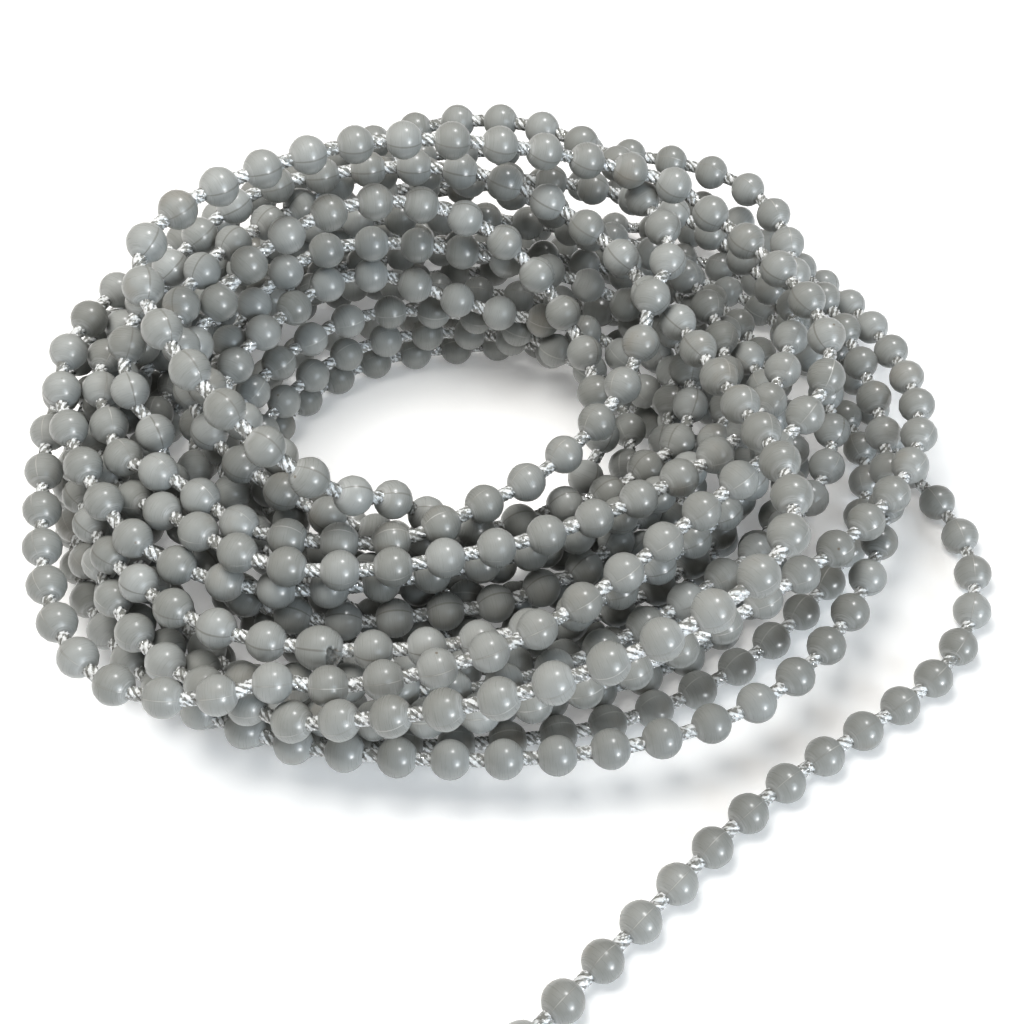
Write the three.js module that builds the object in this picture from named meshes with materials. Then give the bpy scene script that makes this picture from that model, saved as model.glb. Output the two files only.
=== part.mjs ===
// A roller blind's ball chain: balls moulded on one twisted cord, laid down as a loose coil with a free end.
// Millimetres, +Z up. The coil lies on the plane z = 0.
import * as THREE from "three";

// The chain
const ballDiameter = 4.5;
const pitch = 6; // from one ball's centre to the next
const cordDiameter = 1.5;
const cutGap = 0.3; // between the faces of two lengths that follow each other
const ballClearance = 0.15; // between balls that lie on each other
const endCord = 0.75; // bare cord left past the ball at each cut end

// The coil: the reference height of a ball that lies on the floor
const floorHeight = ballDiameter / 2;

// Each turn passes eight compass points, from the right by way of the back, every eighth of a turn.
// A turn is its distances from the coil's middle there, and its heights above the floor row.
const turns = [
  { out: [57, 57, 46, 50, 51, 49, 40, 43], up: [0, 0, 0, 0, 0, 0, 0, 0] },
  { out: [51.5, 52, 41, 44, 45, 43, 35.5, 38.5], up: [1, 0, 0, 0, 0, 0, 0, 0] },
  { out: [42, 42, 32, 36, 38, 36, 27, 31], up: [0, 0, 0, 0, 0, 0, 0, 0] },
  { out: [34, 34, 25, 28, 31, 29, 20, 24], up: [0, 0, 0, 0, 0, 0, 1, 1] },
  { out: [26, 24, 23, 27, 30, 26, 18, 19], up: [1, 2, 5, 5, 5, 6, 6, 6] },
  { out: [20, 20, 21, 27, 31, 27, 23, 25], up: [8, 8, 10, 11, 11, 11, 6, 6] },
  { out: [28, 24, 18, 28, 32, 31, 28, 31], up: [6, 9, 14, 19, 16, 8, 5, 6] },
  { out: [35, 29, 21, 29, 36, 37, 33, 36], up: [6, 12, 21, 22, 13, 6, 5, 6] },
  { out: [41, 44, 40, 44, 46, 45, 41, 42], up: [5, 6, 6, 5, 5, 6, 8, 11] },
  { out: [57, 60, 51, 55, 54, 50, 45, 51], up: [10, 3, 0, 0, 1, 3, 5, 6] },
  { out: [53, 55, 47, 50, 50, 50.5, 46.5, 47], up: [6, 11, 12, 7, 6, 9, 19, 30] },
  { out: [27, 25, 26, 35, 43, 38, 26, 24], up: [23, 25, 31, 29, 24, 9, 8, 7] },
  { out: [25, 31, 30, 40, 52, 48, 37, 36], up: [9, 8, 6, 8, 7, 7, 7, 9] },
  { out: [46, 46, 40, 46, 52, 45.5, 34, 31], up: [8, 15, 19, 13, 10, 14, 12, 11] },
  { out: [38, 38, 34, 44, 48, 33, 18, 15], up: [11, 9, 11, 14, 17, 17, 16, 17] },
  { out: [19, 33, 39.5, 45, 52, 39, 23, 24], up: [20, 28, 29, 21, 20, 14, 12, 12] },
  { out: [31, 38, 33, 41, 49, 38, 25, 26], up: [12, 14, 17, 16, 14, 17, 17, 18] },
  { out: [37, 54, 45, 49, 53, 57.5, 37.5, 32], up: [17, 18, 19.5, 17, 12, 14, 14, 18] },
  { out: [43, 35, 22, 27, 38, 30, 17, 18], up: [24, 28, 38, 39, 39, 29, 11, 10] },
  { out: [27, 30, 31, 35, 36, 23, 16, 17], up: [11, 17, 25, 28, 26, 12, 4, 5] },
  { out: [15, 17, 20, 24.5, 36, 26.5, 17.5, 20], up: [12, 16, 27, 32, 23, 15, 6, 5] },
];

// The free end, from its cut end to the coil, on the floor beside it
const freeEnd = [
  [-3, -82],
  [8, -71],
  [20, -59],
  [32, -46],
  [45, -38],
  [58, -28.5],
  [63, -16],
  [61, -5],
];

const stations = turns[0].out.length;

function routePoints() {
  const points = freeEnd.map(([x, y]) => new THREE.Vector3(x, y, floorHeight));
  for (const turn of turns) {
    for (let i = 0; i < stations; i++) {
      const angle = (2 * Math.PI * i) / stations;
      points.push(
        new THREE.Vector3(
          turn.out[i] * Math.cos(angle),
          turn.out[i] * Math.sin(angle),
          floorHeight + turn.up[i],
        ),
      );
    }
  }
  return points;
}

// Ball centres one pitch apart along the route
function ballsAlong(points) {
  const curve = new THREE.CatmullRomCurve3(points, false, "centripetal");
  curve.arcLengthDivisions = points.length * 40;
  const count = Math.floor(curve.getLength() / pitch);
  return curve.getSpacedPoints(count);
}

// Lets the chain settle: balls keep their pitch, push each other apart and stay on the floor.
const settleRounds = 120;
const hold = 0.02; // pull back to the laid route in a round
const stiffness = 0.12; // pull of a ball to the line between its neighbours
const weight = 0.01; // fall in a round

function settle(laid) {
  const balls = laid.map((p) => p.clone());
  const apart = ballDiameter + ballClearance;
  const step = new THREE.Vector3();
  for (let round = 0; round < settleRounds; round++) {
    balls.forEach((ball, i) => {
      ball.addScaledVector(step.subVectors(laid[i], ball), hold);
      ball.z -= weight;
    });
    for (let i = 1; i < balls.length - 1; i++) {
      step.addVectors(balls[i - 1], balls[i + 1]).multiplyScalar(0.5);
      step.sub(balls[i]);
      balls[i].addScaledVector(step, stiffness);
    }
    for (let pass = 0; pass < 3; pass++) {
      for (let i = 1; i < balls.length; i++) {
        step.subVectors(balls[i], balls[i - 1]);
        const length = step.length();
        step.multiplyScalar((length - pitch) / length / 2);
        balls[i].sub(step);
        balls[i - 1].add(step);
      }
      pushApart(balls, apart);
      for (const ball of balls) ball.z = Math.max(ball.z, floorHeight);
    }
  }
  return balls;
}

function pushApart(balls, apart) {
  const cells = new Map();
  const key = (x, y, z) => x + "," + y + "," + z;
  const cellOf = (ball) => [ball.x, ball.y, ball.z].map((v) => Math.floor(v / apart));
  balls.forEach((ball, i) => {
    const name = key(...cellOf(ball));
    if (!cells.has(name)) cells.set(name, []);
    cells.get(name).push(i);
  });
  const step = new THREE.Vector3();
  balls.forEach((ball, i) => {
    const [cx, cy, cz] = cellOf(ball);
    for (let x = cx - 1; x <= cx + 1; x++)
      for (let y = cy - 1; y <= cy + 1; y++)
        for (let z = cz - 1; z <= cz + 1; z++)
          for (const j of cells.get(key(x, y, z)) || []) {
            if (j < i + 2) continue;
            step.subVectors(balls[j], ball);
            const length = step.length();
            if (length >= apart || length === 0) continue;
            step.multiplyScalar((apart - length) / length / 2);
            balls[j].add(step);
            ball.sub(step);
          }
  });
}

// A ring of corners square to the chain, the last of them at the lowest point
function ring(centre, along, radius, corners) {
  const side = new THREE.Vector3(0, 0, 1).cross(along).normalize();
  const up = new THREE.Vector3().crossVectors(along, side);
  return Array.from({ length: corners }, (_, i) => {
    const angle = -Math.PI / 2 + (2 * Math.PI * (i + 1)) / corners;
    return centre
      .clone()
      .addScaledVector(side, radius * Math.cos(angle))
      .addScaledVector(up, radius * Math.sin(angle));
  });
}

const neckCorners = 3;
const ballCorners = 4;
const endCorners = 8;

// One closed body: a fan over each end, and bands of triangles from ring to ring
function chainGeometry(rings) {
  const faces = [];
  const starts = [];
  let count = 0;
  for (const corners of rings) {
    starts.push(count);
    count += corners.length;
  }
  const last = rings.length - 1;
  for (let i = 1; i < rings[0].length - 1; i++) faces.push(0, i + 1, i);
  for (let i = 1; i < rings[last].length - 1; i++) {
    faces.push(starts[last], starts[last] + i, starts[last] + i + 1);
  }
  for (let r = 0; r < last; r++) {
    faces.push(...band(starts[r], rings[r].length, starts[r + 1], rings[r + 1].length));
  }
  const places = rings.flat().flatMap((corner) => corner.toArray());
  const geometry = new THREE.BufferGeometry();
  geometry.setAttribute("position", new THREE.Float32BufferAttribute(places, 3));
  geometry.setIndex(faces);
  geometry.computeVertexNormals();
  return geometry;
}

// Goes round two rings together, each time on the one that is behind
function band(startA, countA, startB, countB) {
  const faces = [];
  let a = 0;
  let b = 0;
  while (a < countA || b < countB) {
    const cornerA = startA + (a % countA);
    const cornerB = startB + (b % countB);
    if ((a + 1) * countB <= (b + 1) * countA) {
      a++;
      faces.push(cornerA, startA + (a % countA), cornerB);
    } else {
      b++;
      faces.push(cornerA, startB + (b % countB), cornerB);
    }
  }
  return faces;
}

// The direction of the chain at a ball
function alongAt(balls, i) {
  const before = balls[Math.max(i - 1, 0)];
  const after = balls[Math.min(i + 1, balls.length - 1)];
  return after.clone().sub(before).normalize();
}

// A ring in the cord between two balls that follow each other, at a distance from the first
function gapRing(balls, i, distance) {
  const along = balls[i + 1].clone().sub(balls[i]).normalize();
  const centre = balls[i].clone().addScaledVector(along, distance);
  return ring(centre, along, cordDiameter / 2, neckCorners);
}

// The two rings of the bare cord at an end of the chain: at the ball, and at the cut
function endRings(balls, i, way) {
  const along = alongAt(balls, i);
  return [ballDiameter / 2, ballDiameter / 2 + endCord].map((distance) =>
    ring(balls[i].clone().addScaledVector(along, way * distance), along, cordDiameter / 2, endCorners),
  );
}

const plastic = new THREE.MeshStandardMaterial({ color: 0xa6a7a3, roughness: 0.32, metalness: 0 });

// A length of chain from one ball to another. Where it goes on, it is cut in the middle of a gap.
function chainLength(name, balls, first, last) {
  const middle = pitch / 2;
  const rings = [];
  if (first === 0) rings.push(...endRings(balls, first, -1).reverse());
  else rings.push(gapRing(balls, first - 1, middle + cutGap / 2));
  for (let i = first; i <= last; i++) {
    rings.push(ring(balls[i], alongAt(balls, i), ballDiameter / 2, ballCorners));
    if (i < last) rings.push(gapRing(balls, i, middle));
  }
  if (last === balls.length - 1) rings.push(...endRings(balls, last, 1));
  else rings.push(gapRing(balls, last, middle - cutGap / 2));
  const mesh = new THREE.Mesh(chainGeometry(rings), plastic);
  mesh.name = name;
  return mesh;
}

// The balls that come first in each turn, at the right-hand compass point
function turnStarts(balls) {
  const starts = [];
  for (let i = 1; i < balls.length; i++) {
    if (balls[i - 1].y < 0 && balls[i].y >= 0 && balls[i].x > 0) starts.push(i);
  }
  return starts;
}

const balls = settle(ballsAlong(routePoints()));
const starts = turnStarts(balls);
const coil = new THREE.Group();
coil.add(chainLength("free_end", balls, 0, starts[0] - 1));
starts.forEach((start, i) => {
  const end = i + 1 < starts.length ? starts[i + 1] - 1 : balls.length - 1;
  coil.add(chainLength("turn_" + String(i + 1).padStart(2, "0"), balls, start, end));
});

// The origin is under the middle of the chain's box
const middle = new THREE.Box3().setFromObject(coil).getCenter(new THREE.Vector3());
coil.position.set(-middle.x, -middle.y, 0);

const part = new THREE.Group();
part.add(coil);
export default part;
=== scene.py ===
# A roller blind's ball chain, laid down as a loose coil: moulded plastic balls on a twisted clear cord.
import math
import random

import bmesh
import bpy
from mathutils import Matrix, Vector, noise


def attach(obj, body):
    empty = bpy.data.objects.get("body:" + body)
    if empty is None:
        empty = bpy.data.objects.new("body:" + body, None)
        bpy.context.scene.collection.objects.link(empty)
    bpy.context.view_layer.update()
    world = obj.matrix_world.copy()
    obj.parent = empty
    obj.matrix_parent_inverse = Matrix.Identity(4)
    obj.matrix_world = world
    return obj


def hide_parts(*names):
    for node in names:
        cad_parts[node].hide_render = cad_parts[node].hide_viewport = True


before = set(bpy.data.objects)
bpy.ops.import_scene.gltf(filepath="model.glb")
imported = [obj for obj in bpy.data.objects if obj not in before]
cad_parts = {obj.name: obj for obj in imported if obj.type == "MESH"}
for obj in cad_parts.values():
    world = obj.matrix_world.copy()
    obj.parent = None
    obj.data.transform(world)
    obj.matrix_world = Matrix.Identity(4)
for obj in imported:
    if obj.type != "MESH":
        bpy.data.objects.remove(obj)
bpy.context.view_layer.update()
mm = 0.001
picture = bpy.context.scene

# ---- camera: the photograph's view, from the front and above
view = {
    "eye": (0.007, -107.968, 148.5),  # mm
    "down": 51,  # degrees below level
    "focal": 1450,  # pixels
    "width": 1024,  # pixels
    "sensor": 36,  # mm
    "clip": (0.01, 20),  # m
}


def makeCamera():
    data = bpy.data.cameras.new("camera")
    data.sensor_width = view["sensor"]
    data.lens = view["focal"] / view["width"] * view["sensor"]
    data.clip_start, data.clip_end = view["clip"]
    camera = bpy.data.objects.new("camera", data)
    camera.location = Vector(view["eye"]) * mm
    camera.rotation_euler = (math.radians(90 - view["down"]), 0, 0)
    picture.collection.objects.link(camera)
    picture.camera = camera


# ---- the route: the frame's solids have a square of corners round each ball
chain = {
    "ball": 4.5,  # mm across
    "cord": 1.5,  # mm across
    "endCord": 0.75,  # mm of bare cord past the last ball at each end
    "facing": (0.0, -0.63, 0.78),  # up and to the front
}
# mm by which the frame's corners, edges and rings may be off
slack = {"corner": 0.002, "edge": 0.01, "ring": 0.05}


# The corners of each ring of a length of chain, in order, from each of its three-cornered ends
def ringsOf(node):
    shape = bmesh.new()
    shape.from_mesh(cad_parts[node].data)
    bmesh.ops.remove_doubles(shape, verts=shape.verts, dist=slack["corner"] * mm)
    side = chain["cord"] / 2 * math.sqrt(3) * mm
    ways = []
    for face in shape.faces:
        if any(abs(edge.calc_length() - side) > slack["edge"] * mm for edge in face.edges):
            continue
        layer, seen, rings = list(face.verts), set(face.verts), []
        while layer:
            rings.append([v.co.copy() for v in layer])
            nextTo = [edge.other_vert(v) for v in layer for edge in v.link_edges]
            layer = [v for v in dict.fromkeys(nextTo) if v not in seen]
            seen.update(layer)
        ways.append(rings)
    shape.free()
    return ways


# A ball's centre is the middle of a ring with four corners at its radius
def ballsOf(rings):
    radius = chain["ball"] / 2 * mm
    centres = []
    for corners in rings:
        middle = sum(corners, Vector()) / len(corners)
        off = [abs((corner - middle).length - radius) for corner in corners]
        if len(corners) == 4 and max(off) < slack["ring"] * mm:
            centres.append(middle)
    return centres


# Every ball from the free end to the inner end, with its node's name.
# A length goes on from the end that the one before it points to.
def allBalls():
    order = []
    for name in ["free_end"] + sorted(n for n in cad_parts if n.startswith("turn_")):
        ways = [ballsOf(rings) for rings in ringsOf(name)]
        if order:
            onward = order[-1][1] * 2 - order[-2][1]
            centres = min(ways, key=lambda way: (way[0] - onward).length)
        else:
            centres = ways[0][::-1]
        order += [(name, centre) for centre in centres]
    return order


# The chain's direction at each ball, and the side of it that faces up and to the front
def axesOf(centres):
    last = len(centres) - 1
    facing = Vector(chain["facing"])
    axes = []
    for i in range(last + 1):
        along = (centres[min(i + 1, last)] - centres[max(i - 1, 0)]).normalized()
        side = facing - along * facing.dot(along)
        if side.length < 0.1:  # the chain points the same way
            side = along.orthogonal()
        axes.append((along, side.normalized()))
    return axes


# ---- node helpers
def nodeMaker(material):
    material.use_nodes = True
    tree = material.node_tree

    def fill(node, inputs):
        for key, value in inputs.items():
            if isinstance(value, bpy.types.NodeSocket):
                tree.links.new(value, node.inputs[key])
            else:
                node.inputs[key].default_value = value
        return node

    def add(kind, inputs, output=0, **settings):
        node = tree.nodes.new(kind)
        for key, value in settings.items():
            setattr(node, key, value)
        return fill(node, inputs).outputs[output]

    def calc(kind, *values):
        return add("ShaderNodeMath", dict(enumerate(values)), operation=kind)

    def finish(inputs):
        fill(tree.nodes["Principled BSDF"], inputs)

    return add, calc, finish


def mixColours(add, factor, first, second):
    return add("ShaderNodeMix", {0: factor, 6: first, 7: second}, output=2, data_type="RGBA")


def remap(add, value, low, high, toLow=0.0, toHigh=1.0):
    return add("ShaderNodeMapRange", {0: value, 1: low, 2: high, 3: toLow, 4: toHigh})


def attribute(add, name):
    return add("ShaderNodeAttribute", {}, output=2, attribute_name=name)


def grainOf(add, place, scale, detail, roughness=0.5):
    inputs = {"Vector": place, "Scale": scale, "Detail": detail, "Roughness": roughness}
    return add("ShaderNodeTexNoise", inputs)


def bump(add, height, strength, distance, **more):
    inputs = {"Height": height, "Strength": strength, "Distance": distance, **more}
    return add("ShaderNodeBump", inputs)


# ---- balls
plastic = {
    "dark": (0.213, 0.217, 0.203, 1),
    "light": (0.345, 0.356, 0.347, 1),
    "frost": (0.50, 0.51, 0.51, 1),
    # painted highlight along the seam's ridge
    "seamRidgeAndHighlight": (0.50, 0.50, 0.475, 1),
    "shade": (0.15, 0.145, 0.13, 1),  # painted shade in the groove beside the seam
    "dirt": (0.12, 0.085, 0.05, 1),
    "smudge": (0.22, 0.185, 0.14, 1),
    # each pattern's scale and detail
    "cloud": (260.0, 3.0),
    "grain": (2600.0, 2.0),
    "wear": (420.0, 1.0),
    "stain": (140.0, 4.0),
    "lines": (1.0, 4.0, 0.7),  # and roughness
    "specks": 260.0,
    # how much it shows
    "clouded": 0.6,
    "lined": 0.08,
    "clean": 0.8,  # the share of places without a speck
    # or two values of the pattern, and how much it shows at each
    "frosted": (0.4, 0.62, 0.05, 0.5),
    "unworn": (0.36, 0.6, 0.15, 0.75),
    "stained": (0.60, 0.74, 0.0, 0.35),
    "specked": (0.03, 0.055, 0.7, 0.0),
    "grooveShading": (0.0, 1.0, 0.75, 0.45),  # how much painted shade lies beside a dark seam and a bright one
    "roughness": (0.3, 0.7, 0.26, 0.31),
    "scored": (5.0, 11.0, 1.0),  # how close the lines are round the ball, and along it
    "apart": 90.0,  # how far a ball's tone moves its lines
    "mouth": (1.7, 1.95),  # mm along the cord from the ball's middle, where it is frosted
    "mouthRoughness": 0.15,  # more than elsewhere
    "seamWidth": 0.008,  # of the way round the ball
    "groove": (0.6, 1.3),  # of the seam's width
    # strength and distance of the bumps
    "seamRise": (0.22, 0.0001),
    "grainRise": (0.05, 0.0001),
    "lineRise": 0.02,  # of the seam's
    "ior": 1.48,
}


# Satin moulded plastic: cloudy, finely scored round the ball, frosted by its mouths,
# and with the mould's seam, painted as a highlighted or a shaded line with painted shade in a groove
# beside it
def plasticMaterial():
    material = bpy.data.materials.new("ball_plastic")
    add, calc, finish = nodeMaker(material)
    place = add("ShaderNodeTexCoord", {}, output="Object")
    layout = add("ShaderNodeTexCoord", {}, output="UV")
    way = add("ShaderNodeSeparateXYZ", {0: layout}, output="X")
    along = add("ShaderNodeSeparateXYZ", {0: layout}, output="Y")

    # clouds and fine lines, in the tone that the ball was given. Its tone also moves its lines
    own = attribute(add, "tone")
    shift = add("ShaderNodeCombineXYZ", {2: calc("MULTIPLY", own, plastic["apart"])})
    scored = add("ShaderNodeMapping", {"Vector": layout, "Scale": plastic["scored"]})
    scored = add("ShaderNodeVectorMath", {0: scored, 1: shift}, operation="ADD")
    lines = grainOf(add, scored, *plastic["lines"])
    tone = calc("MULTIPLY_ADD", grainOf(add, place, *plastic["cloud"]), plastic["clouded"], own)
    tone = calc("SUBTRACT", tone, plastic["lined"] / 2)
    tone = calc("MULTIPLY_ADD", lines, plastic["lined"], tone)
    body = mixColours(add, tone, plastic["dark"], plastic["light"])

    # frosted by the mouths
    rim = remap(add, calc("ABSOLUTE", along), *plastic["mouth"])
    rim = calc("MULTIPLY", rim, remap(add, lines, *plastic["frosted"]))
    body = mixColours(add, rim, body, plastic["frost"])

    # The seam runs from mouth to mouth on both sides: the way round is a whole or a half number there.
    # Its ridge is bumped, and its line is a painted highlight on some turns and a dark line of painted
    # shade on the others.
    width = plastic["seamWidth"]
    near, far = plastic["groove"]
    fold = calc("PINGPONG", way, 0.5)
    fromSeam = calc("PINGPONG", fold, 0.25)
    worn = remap(add, grainOf(add, place, *plastic["wear"]), *plastic["unworn"])
    seamRidgeAndHighlight = calc("MULTIPLY", remap(add, fromSeam, width, 0.0), worn)
    shine = attribute(add, "shine")
    # painted shade in a groove beside the seam, stronger beside dark seams
    groove = remap(add, fold, width * near, width * far, 1.0, 0.0)
    groove = calc("MULTIPLY", groove, remap(add, shine, *plastic["grooveShading"]))
    body = mixColours(add, groove, body, plastic["shade"])
    # painted highlight along the seam, as strong as the turn's shine
    body = mixColours(add, calc("MULTIPLY", seamRidgeAndHighlight, shine), body, plastic["seamRidgeAndHighlight"])

    # brown smudges here and there, a few dark specks, and the dirt in the broken ball
    stain = remap(add, grainOf(add, place, *plastic["stain"]), *plastic["stained"])
    body = mixColours(add, stain, body, plastic["smudge"])
    spots = {"Vector": place, "Scale": plastic["specks"]}
    speck = remap(add, add("ShaderNodeTexVoronoi", spots), *plastic["specked"])
    chosen = add("ShaderNodeTexVoronoi", spots, output="Color")
    chosen = calc("GREATER_THAN", add("ShaderNodeSeparateColor", {0: chosen}), plastic["clean"])
    body = mixColours(add, calc("MULTIPLY", speck, chosen), body, plastic["dirt"])
    body = mixColours(add, attribute(add, "dirt"), body, plastic["dirt"])

    relief = bump(add, calc("MULTIPLY_ADD", lines, plastic["lineRise"], seamRidgeAndHighlight), *plastic["seamRise"])
    grain = grainOf(add, place, *plastic["grain"])
    rough = remap(add, lines, *plastic["roughness"])
    finish({
        "Base Color": body,
        "Roughness": calc("MULTIPLY_ADD", rim, plastic["mouthRoughness"], rough),
        "IOR": plastic["ior"],
        "Normal": bump(add, grain, *plastic["grainRise"], Normal=relief),
    })
    return material


mould = {
    # half outline: mm from the cord and along it from the ball's middle, before it is rounded
    "outline": [(0.0, 2.06), (0.88, 2.24), (1.85, 1.70), (2.60, 0.63)],
    "columns": 8,
    "subdivision": 1,
    "tone": (-0.25, 0.45),  # from the darkest ball to the lightest
    "roll": 0.1,  # radians that the seam is off, to each side
    "size": (0.99, 1.01),
    # how much of the seam's painted highlight the turns with dark seams keep
    "darkShine": 0.1,
}
# Where the seam lies, in degrees round the chain from the side that faces up and to the front.
# It stays on nearly the same side from ball to ball, and wanders round the chain slowly.
seams = {
    "free_end": -12, "turn_10": 58, "turn_11": 40, "turn_12": -30, "turn_13": 8, "turn_14": 28,
    "turn_15": -38, "turn_16": 62, "turn_17": 34, "turn_18": 12, "turn_19": -34, "turn_20": 20,
}
# Turns whose seams show as a dark line of painted shade, with little painted highlight
darkSeams = ("turn_10", "turn_12", "turn_14", "turn_16", "turn_19", "turn_20", "turn_21")
drift = {
    "reach": 22,  # degrees that the seam wanders to each side
    "pace": 0.045,  # from ball to ball
    "run": 40,  # balls with their seam on one side, on a turn that seams doesn't name
    "jump": 137,  # degrees from one such run to the next
}


def seamRoll(number, name):
    wander = drift["reach"] * noise.noise(Vector((number * drift["pace"], 4.7, 1.3)))
    return math.radians(seams.get(name, drift["jump"] * (number // drift["run"]) % 180) + wander)


# One ball along Z: a half outline spun round, and smoothed by its subdivision.
# Its map has the way round in u, which the seam follows, and the way along in v.
def ballShape():
    shape = bmesh.new()
    for layer in ("tone", "dirt", "shine"):
        shape.verts.layers.float.new(layer)
    half = mould["outline"]
    outline = half + [(radius, -along) for radius, along in reversed(half)]
    verts = [shape.verts.new((radius * mm, 0, along * mm)) for radius, along in outline]
    edges = [shape.edges.new(pair) for pair in zip(verts, verts[1:])]
    bmesh.ops.spin(
        shape, geom=verts + edges, cent=(0, 0, 0), axis=(0, 0, 1), angle=2 * math.pi,
        steps=mould["columns"], use_merge=True, use_duplicate=False,
    )
    bmesh.ops.remove_doubles(shape, verts=shape.verts, dist=0.001 * mm)
    bmesh.ops.recalc_face_normals(shape, faces=shape.faces)
    uv = shape.loops.layers.uv.new("UVMap")
    for face in shape.faces:
        face.smooth = True
        middle = face.calc_center_median()
        facing = math.atan2(middle.y, middle.x) / (2 * math.pi)
        for loop in face.loops:
            co = loop.vert.co
            u = facing
            if co.xy.length > 0.1 * mm:  # not at the mouth's middle, which has no way round
                u = math.atan2(co.y, co.x) / (2 * math.pi)
                u += round(facing - u)
            loop[uv].uv = (u, co.z / mm)
    return shape


def addSubdivision(piece, levels):
    modifier = piece.modifiers.new("round", "SUBSURF")
    modifier.levels = modifier.render_levels = levels
    modifier.uv_smooth = "NONE"


def newPiece(name, mesh, material):
    piece = bpy.data.objects.new(name, mesh)
    picture.collection.objects.link(piece)
    mesh.materials.append(material)
    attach(piece, "root")
    return piece


# An evaluated object's mesh, as one that stays when the object goes
def meshOf(helper):
    ready = helper.evaluated_get(bpy.context.evaluated_depsgraph_get())
    return bpy.data.meshes.new_from_object(ready)


# Turns a shape along Z to lie on the chain, with its front on the given side
def turnTo(along, side):
    return Matrix((side, along.cross(side), along)).transposed()


# The balls of one length of chain, each turned along the cord with its seam where the mould left it
def makeBalls(name, places, material):
    shape = ballShape()
    pattern = list(shape.verts) + list(shape.edges) + list(shape.faces)
    tone = shape.verts.layers.float["tone"]
    shine = shape.verts.layers.float["shine"]
    for number, (centre, along, side) in places:
        copy = bmesh.ops.duplicate(shape, geom=pattern)["geom"]
        verts = [g for g in copy if isinstance(g, bmesh.types.BMVert)]
        chance = random.Random(number)
        shade = chance.uniform(*mould["tone"])
        for v in verts:
            v[tone] = shade
            # the share of painted highlight, against painted shade, on this ball's seam
            v[shine] = mould["darkShine"] if name in darkSeams else 1.0
        roll = seamRoll(number, name) + chance.uniform(-mould["roll"], mould["roll"])
        size = chance.uniform(*mould["size"])
        turn = turnTo(along, side) @ Matrix.Rotation(roll, 3, "Z") * size
        bmesh.ops.transform(shape, matrix=Matrix.Translation(centre) @ turn.to_4x4(), verts=verts)
    spent = [g for g in pattern if isinstance(g, bmesh.types.BMVert)]
    bmesh.ops.delete(shape, geom=spent, context="VERTS")
    mesh = bpy.data.meshes.new("balls_" + name)
    shape.to_mesh(mesh)
    shape.free()
    piece = newPiece("balls_" + name, mesh, material)
    addSubdivision(piece, mould["subdivision"])
    return piece


# One ball on the front strand is larger than the rest, and a piece has broken out of its side
chipped = {
    "ball": 562,
    "size": (1.10, 1.10, 1.20),
    "way": (0.56, 0.50, 0.64),  # to the break's middle: up, down the front, along the chain
    "break": (1.45, 0.75),  # mm that it reaches round the ball, and along the chain
    "depth": 0.75,  # mm
    "slope": 3.0,  # how steeply it falls from its edge
    "subdivision": 3,
    # how fine its waves are, and how high: two for its edge, one for its floor
    "ragged": [(2.2, 0.35), (6.0, 0.2)],
    "floor": (4.0, 0.8),
    # its dirt: everywhere, more at the edge and how narrow that is, and in patches and how fine
    "dirt": (0.22, 0.35, 4.0, 0.4, 5.0),
}


def makeChipped(place, material):
    centre, along, side = place
    shape = ballShape()
    cage = bpy.data.meshes.new("cage")
    shape.to_mesh(cage)
    shape.free()
    helper = bpy.data.objects.new("cage", cage)
    picture.collection.objects.link(helper)
    addSubdivision(helper, chipped["subdivision"])
    mesh = meshOf(helper)
    bpy.data.meshes.remove(cage)
    shape = bmesh.new()
    shape.from_mesh(mesh)
    dirt = shape.verts.layers.float["dirt"]
    way = Vector(chipped["way"]).normalized()
    spot = way * chain["ball"] / 2
    around = way.cross(Vector((0, 0, 1))).normalized()
    onward = way.cross(around)
    reachAround, reachOn = chipped["break"]
    lump, least = chipped["floor"]
    dirty, edge, narrow, patch, patches = chipped["dirt"]
    for v in shape.verts:
        co = v.co / mm
        off = co - spot
        far = math.hypot(off.dot(around) / reachAround, off.dot(onward) / reachOn)
        far += sum(noise.noise(co * fine) * high for fine, high in chipped["ragged"])
        if co.dot(way) > 0 and far < 1.0:
            within = 1.0 - far
            hollow = min(1.0, within * chipped["slope"]) * (least + noise.noise(co * lump))
            v.co -= way * chipped["depth"] * hollow * mm
            v[dirt] = dirty + edge * max(0.0, 1.0 - within * narrow) + patch * noise.noise(co * patches)
    turn = turnTo(along, side) @ Matrix.Diagonal(chipped["size"])
    bmesh.ops.transform(shape, matrix=Matrix.Translation(centre) @ turn.to_4x4(), verts=shape.verts)
    shape.to_mesh(mesh)
    shape.free()
    mesh.name = "ball_chipped"
    mesh.materials.clear()
    return newPiece("ball_chipped", mesh, material)


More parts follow.
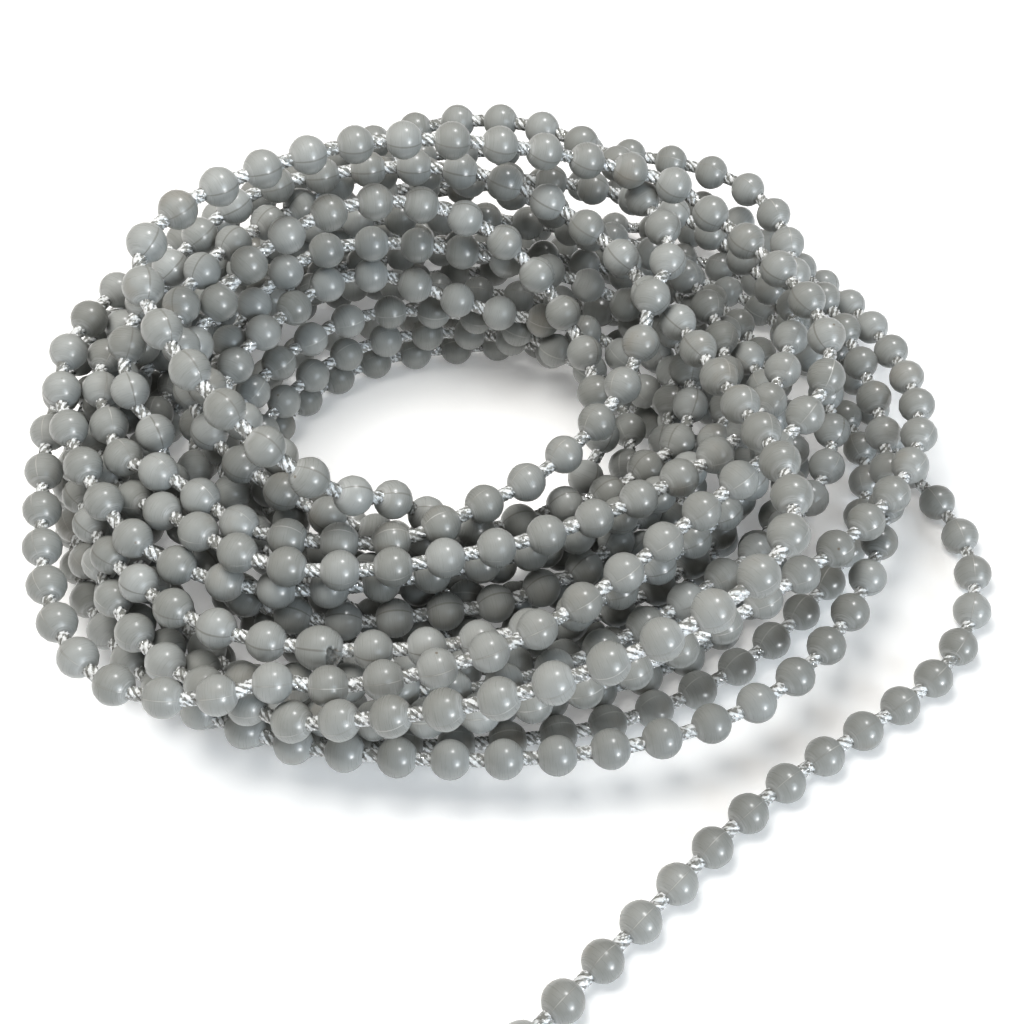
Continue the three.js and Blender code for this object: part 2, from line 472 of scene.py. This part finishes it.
# ---- cord
strand = {
    "count": 5,
    "lay": 5.0,  # mm of bare cord in which the strands go once round
    "across": 1.80,  # mm over the twisted strands
    "lobe": 0.4,  # radius of a strand's back, of the cord's
    "arc": 48,  # degrees of a strand's back to each side of its middle
    "groove": 0.66,  # depth that is left between two strands, of the radius
    "stations": (0, 0.23, 0.365, 0.5, 0.635, 0.77, 1),  # of the way from ball to ball
    "hidden": 1.2,  # mm from a ball's centre, inside it, where the cord begins to bend
    "endStations": 3,  # on the bare cord at each end
    # painted highlight on the strands' crests, and painted shade between the strands
    "crestHighlight": (0.84, 0.86, 0.865, 1),
    "between": (0.225, 0.23, 0.215, 1),
    "fibres": (1900.0, 2.0),  # scale and detail
    "streaks": (1900.0, 8.0, 1.0),  # along the whole cord, and round it
    "streaky": (1.0, 3.0, 0.6),  # scale, detail and roughness
    "uneven": 2.2,  # how much fibres and streaks add to a strand's height, its bumps and its painted highlight
    "bright": (2.40, 2.70),  # from the height that gets painted shade to the one that gets painted highlight
    "rise": (0.8, 0.0002),  # strength and distance of the bumps
    "roughness": 0.12,
    "ior": 1.7,
    "coatRoughness": 0.05,
}


# A clear plastic twist, with a painted highlight along the crests of its strands and painted shade deep
# between them.
# A strand has three of its outline's points, and the third of them is the groove beside it.
def cordMaterial():
    material = bpy.data.materials.new("cord_clear")
    add, calc, finish = nodeMaker(material)
    place = add("ShaderNodeTexCoord", {}, output="Object")
    layout = add("ShaderNodeTexCoord", {}, output="UV")
    around = add("ShaderNodeSeparateXYZ", {0: layout}, output="Y")
    # the strand's height gives its bumps, and also its painted highlight and painted shade
    height = calc("PINGPONG", calc("MULTIPLY_ADD", around, float(strand["count"]), 1 / 3), 0.5)
    streaks = add("ShaderNodeMapping", {"Vector": layout, "Scale": strand["streaks"]})
    for pattern in (
        grainOf(add, place, *strand["fibres"]),
        grainOf(add, streaks, *strand["streaky"]),
    ):
        height = calc("MULTIPLY_ADD", pattern, strand["uneven"], height)
    # painted highlight on the crests and in bright strokes, painted shade between the strands
    bright = remap(add, height, *strand["bright"])
    finish({
        "Base Color": mixColours(add, bright, strand["between"], strand["crestHighlight"]),
        "Roughness": strand["roughness"],
        "IOR": strand["ior"],
        "Coat Weight": 1.0,
        "Coat Roughness": strand["coatRoughness"],
        "Normal": bump(add, height, *strand["rise"]),
    })
    return material


# Points down the middle of the cord: through each ball, and in a smooth bend over each gap.
# Each has how far round its strands have gone.
def cordPath(centres, axes):
    path = []
    turned = 0.0
    hidden = strand["hidden"]
    step = 2 * math.pi / strand["lay"]
    parts = strand["endStations"]
    bare = [chain["ball"] / 2 + chain["endCord"] * k / parts for k in range(parts, -1, -1)]
    ends = bare + [hidden]
    along = axes[0][0]
    for reach in ends:
        path.append((centres[0] - along * reach * mm, (hidden - reach) * step))
    for i in range(len(centres) - 1):
        first = centres[i] + axes[i][0] * hidden * mm
        last = centres[i + 1] - axes[i + 1][0] * hidden * mm
        reach = (last - first).length
        startPull, endPull = axes[i][0] * reach, axes[i + 1][0] * reach
        for t in strand["stations"]:
            point = (
                first * (2 * t**3 - 3 * t**2 + 1) + startPull * (t**3 - 2 * t**2 + t)
                + last * (3 * t**2 - 2 * t**3) + endPull * (t**3 - t**2)
            )
            path.append((point, turned + reach * t / mm * step))
        turned += reach / mm * step
    along = axes[-1][0]
    for reach in reversed(ends):
        path.append((centres[-1] + along * reach * mm, turned + (reach - hidden) * step))
    return path


# The outline of the twisted strands, square to the cord
def strandProfile():
    data = bpy.data.curves.new("strand_profile", "CURVE")
    data.dimensions = "2D"
    radius = strand["across"] / 2 * mm
    lobe = strand["lobe"] * radius
    spots = []
    for k in range(strand["count"]):
        facing = 2 * math.pi * k / strand["count"]
        middle = Vector((math.cos(facing), math.sin(facing))) * (radius - lobe)
        for turn in (-strand["arc"], strand["arc"]):
            angle = facing + math.radians(turn)
            spots.append(middle + Vector((math.cos(angle), math.sin(angle))) * lobe)
        angle = facing + math.pi / strand["count"]
        spots.append(Vector((math.cos(angle), math.sin(angle))) * radius * strand["groove"])
    line = data.splines.new("POLY")
    line.points.add(len(spots) - 1)
    line.use_cyclic_u = True
    for place, spot in zip(line.points, spots):
        place.co = (spot.x, spot.y, 0, 1)
    return bpy.data.objects.new("strand_profile", data)


def makeCord(path, material):
    data = bpy.data.curves.new("cord_line", "CURVE")
    data.dimensions = "3D"
    data.twist_mode = "MINIMUM"
    profile = strandProfile()
    data.bevel_mode = "OBJECT"
    data.bevel_object = profile
    data.use_fill_caps = True
    line = data.splines.new("POLY")
    line.points.add(len(path) - 1)
    for place, (point, angle) in zip(line.points, path):
        place.co = (*point, 1)
        place.tilt = angle % (2 * math.pi)
    guide = bpy.data.objects.new("cord_line", data)
    for helper in (profile, guide):
        picture.collection.objects.link(helper)
    mesh = meshOf(guide)
    for helper in (guide, profile):
        bpy.data.curves.remove(helper.data)
    mesh.name = "cord"
    mesh.materials.clear()
    for face in mesh.polygons:
        face.use_smooth = True
    return newPiece("cord", mesh, material)


# ---- floor and light
studio = {
    "floor": (0.96, 0.96, 0.96, 1),
    "half": 3.0,  # m from the floor's middle to its edges
    "roughness": 0.75,
    "glow": 0.18,
    "fleck": (900.0, 2.0),  # scale and detail
    "fleckRise": (0.04, 0.0005),  # strength and distance of the bumps
    "sky": (1.0, 0.955, 0.90, 1),
    "skyPower": 0.25,
}
# name, size in m, power in W, colour, direction that it comes from, distance in m, what it gives
lamps = [
    ("window", 0.8, 8.8, (0.77, 0.89, 1.0), (0.64, -0.63, 0.46), 1.2, "both"),
    ("spark", 0.07, 1.9, (1.0, 1.0, 1.0), (0.64, -0.71, 0.30), 0.6, "gloss"),
    ("bulb", 0.05, 1.7, (1.0, 1.0, 1.0), (0.26, 0.27, 0.93), 0.6, "gloss"),
    ("ceiling", 0.2, 0.98, (1.0, 0.985, 0.955), (-0.27, 0.07, 0.96), 0.30, "light"),
]


def makeFloor():
    shape = bmesh.new()
    bmesh.ops.create_grid(shape, x_segments=8, y_segments=8, size=studio["half"])
    mesh = bpy.data.meshes.new("floor")
    shape.to_mesh(mesh)
    shape.free()
    floor = bpy.data.objects.new("floor", mesh)
    picture.collection.objects.link(floor)
    material = bpy.data.materials.new("floor_paper")
    add, calc, finish = nodeMaker(material)
    fleck = grainOf(add, add("ShaderNodeTexCoord", {}, output="Object"), *studio["fleck"])
    finish({
        "Base Color": studio["floor"],
        "Roughness": studio["roughness"],
        "Emission Color": studio["floor"],
        "Emission Strength": studio["glow"],
        "Normal": bump(add, fleck, *studio["fleckRise"]),
    })
    mesh.materials.append(material)


def makeLight():
    world = bpy.data.worlds.new("studio")
    world.use_nodes = True
    back = world.node_tree.nodes["Background"]
    back.inputs["Color"].default_value = studio["sky"]
    back.inputs["Strength"].default_value = studio["skyPower"]
    picture.world = world
    for name, size, power, colour, way, distance, gives in lamps:
        light = bpy.data.lights.new(name, "AREA")
        light.shape = "DISK"
        light.size, light.energy, light.color = size, power, colour
        lamp = bpy.data.objects.new(name, light)
        way = Vector(way).normalized()
        lamp.location = way * distance
        lamp.rotation_euler = way.to_track_quat("Z", "Y").to_euler()
        lamp.visible_diffuse = gives != "gloss"
        lamp.visible_glossy = gives != "light"
        picture.collection.objects.link(lamp)
    picture.view_settings.view_transform = "Standard"


# ---- the build
makeCamera()
order = allBalls()
centres = [centre for name, centre in order]
axes = axesOf(centres)
print("balls on the route:", len(centres))

path = cordPath(centres, axes)
cordPiece = makeCord(path, cordMaterial())
print("cord triangles:", sum(len(face.vertices) - 2 for face in cordPiece.data.polygons))

ballPlastic = plasticMaterial()
for node in dict.fromkeys(name for name, centre in order):
    places = [
        (i, (centres[i], *axes[i])) for i, (name, centre) in enumerate(order)
        if name == node and i != chipped["ball"]
    ]
    piece = makeBalls(node, places, ballPlastic)
    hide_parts(node)
broken = chipped["ball"]
makeChipped((centres[broken], *axes[broken]), ballPlastic)

makeFloor()
makeLight()
print("floor, sky and lamps:", len(lamps))
